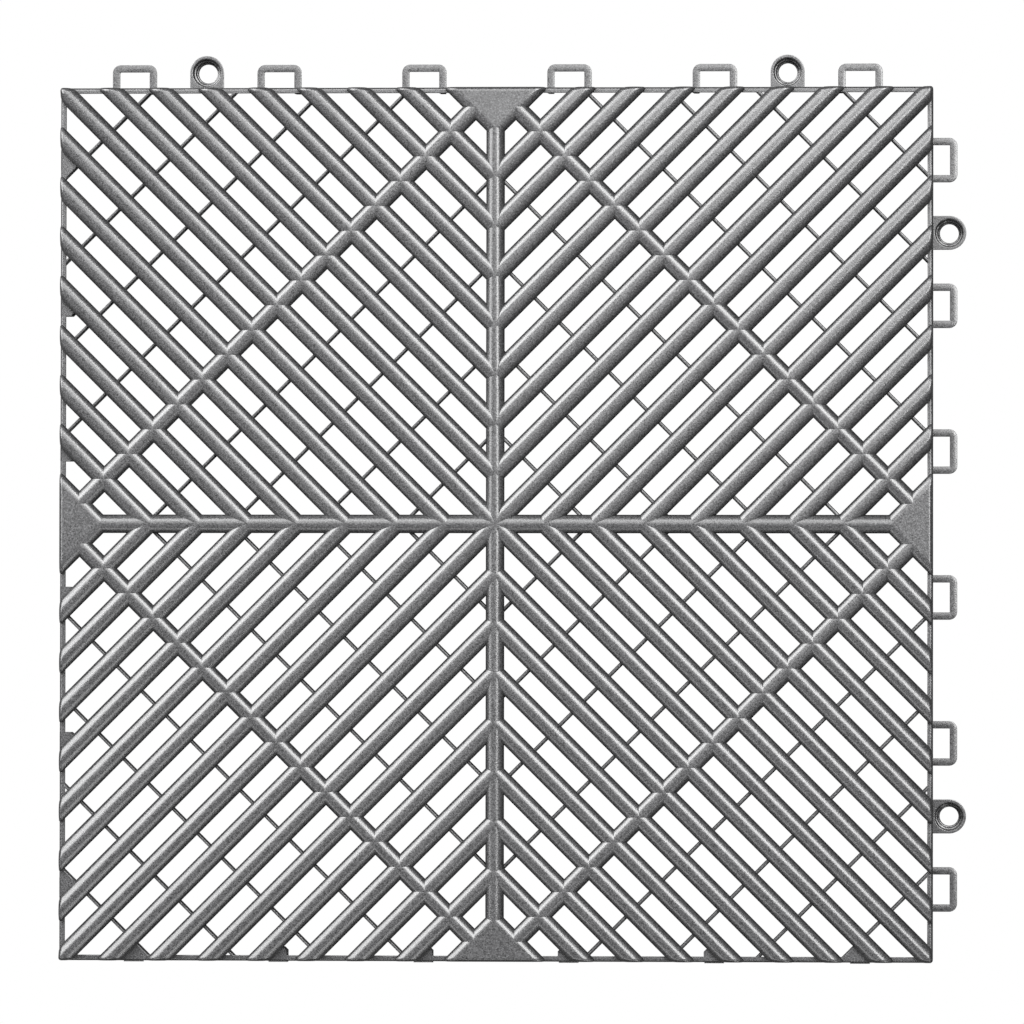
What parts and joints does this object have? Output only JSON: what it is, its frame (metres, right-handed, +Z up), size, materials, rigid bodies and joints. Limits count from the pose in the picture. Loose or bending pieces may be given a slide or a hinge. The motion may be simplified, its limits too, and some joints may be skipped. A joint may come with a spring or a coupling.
{
  "type": "interlocking drainage tile",
  "caption": "Square open-rib floor tile, one moulding, with snap loops and screw eyelets on two sides and snap tabs on the other two.",
  "frame": {"origin": "centre of the square tile, on the floor plane that its feet stand on", "axes": "+X and +Y out through the two sides with loops, +Z up through the ribs' crests"},
  "size_m": [0.4159, 0.4159, 0.019],
  "materials": {
    "tile_plastic": "silver-grey moulded plastic with a fine pearl grain"
  },
  "bodies": {
    "root": {"drainage_tile": "tile_plastic"}
  },
  "joints": []
}
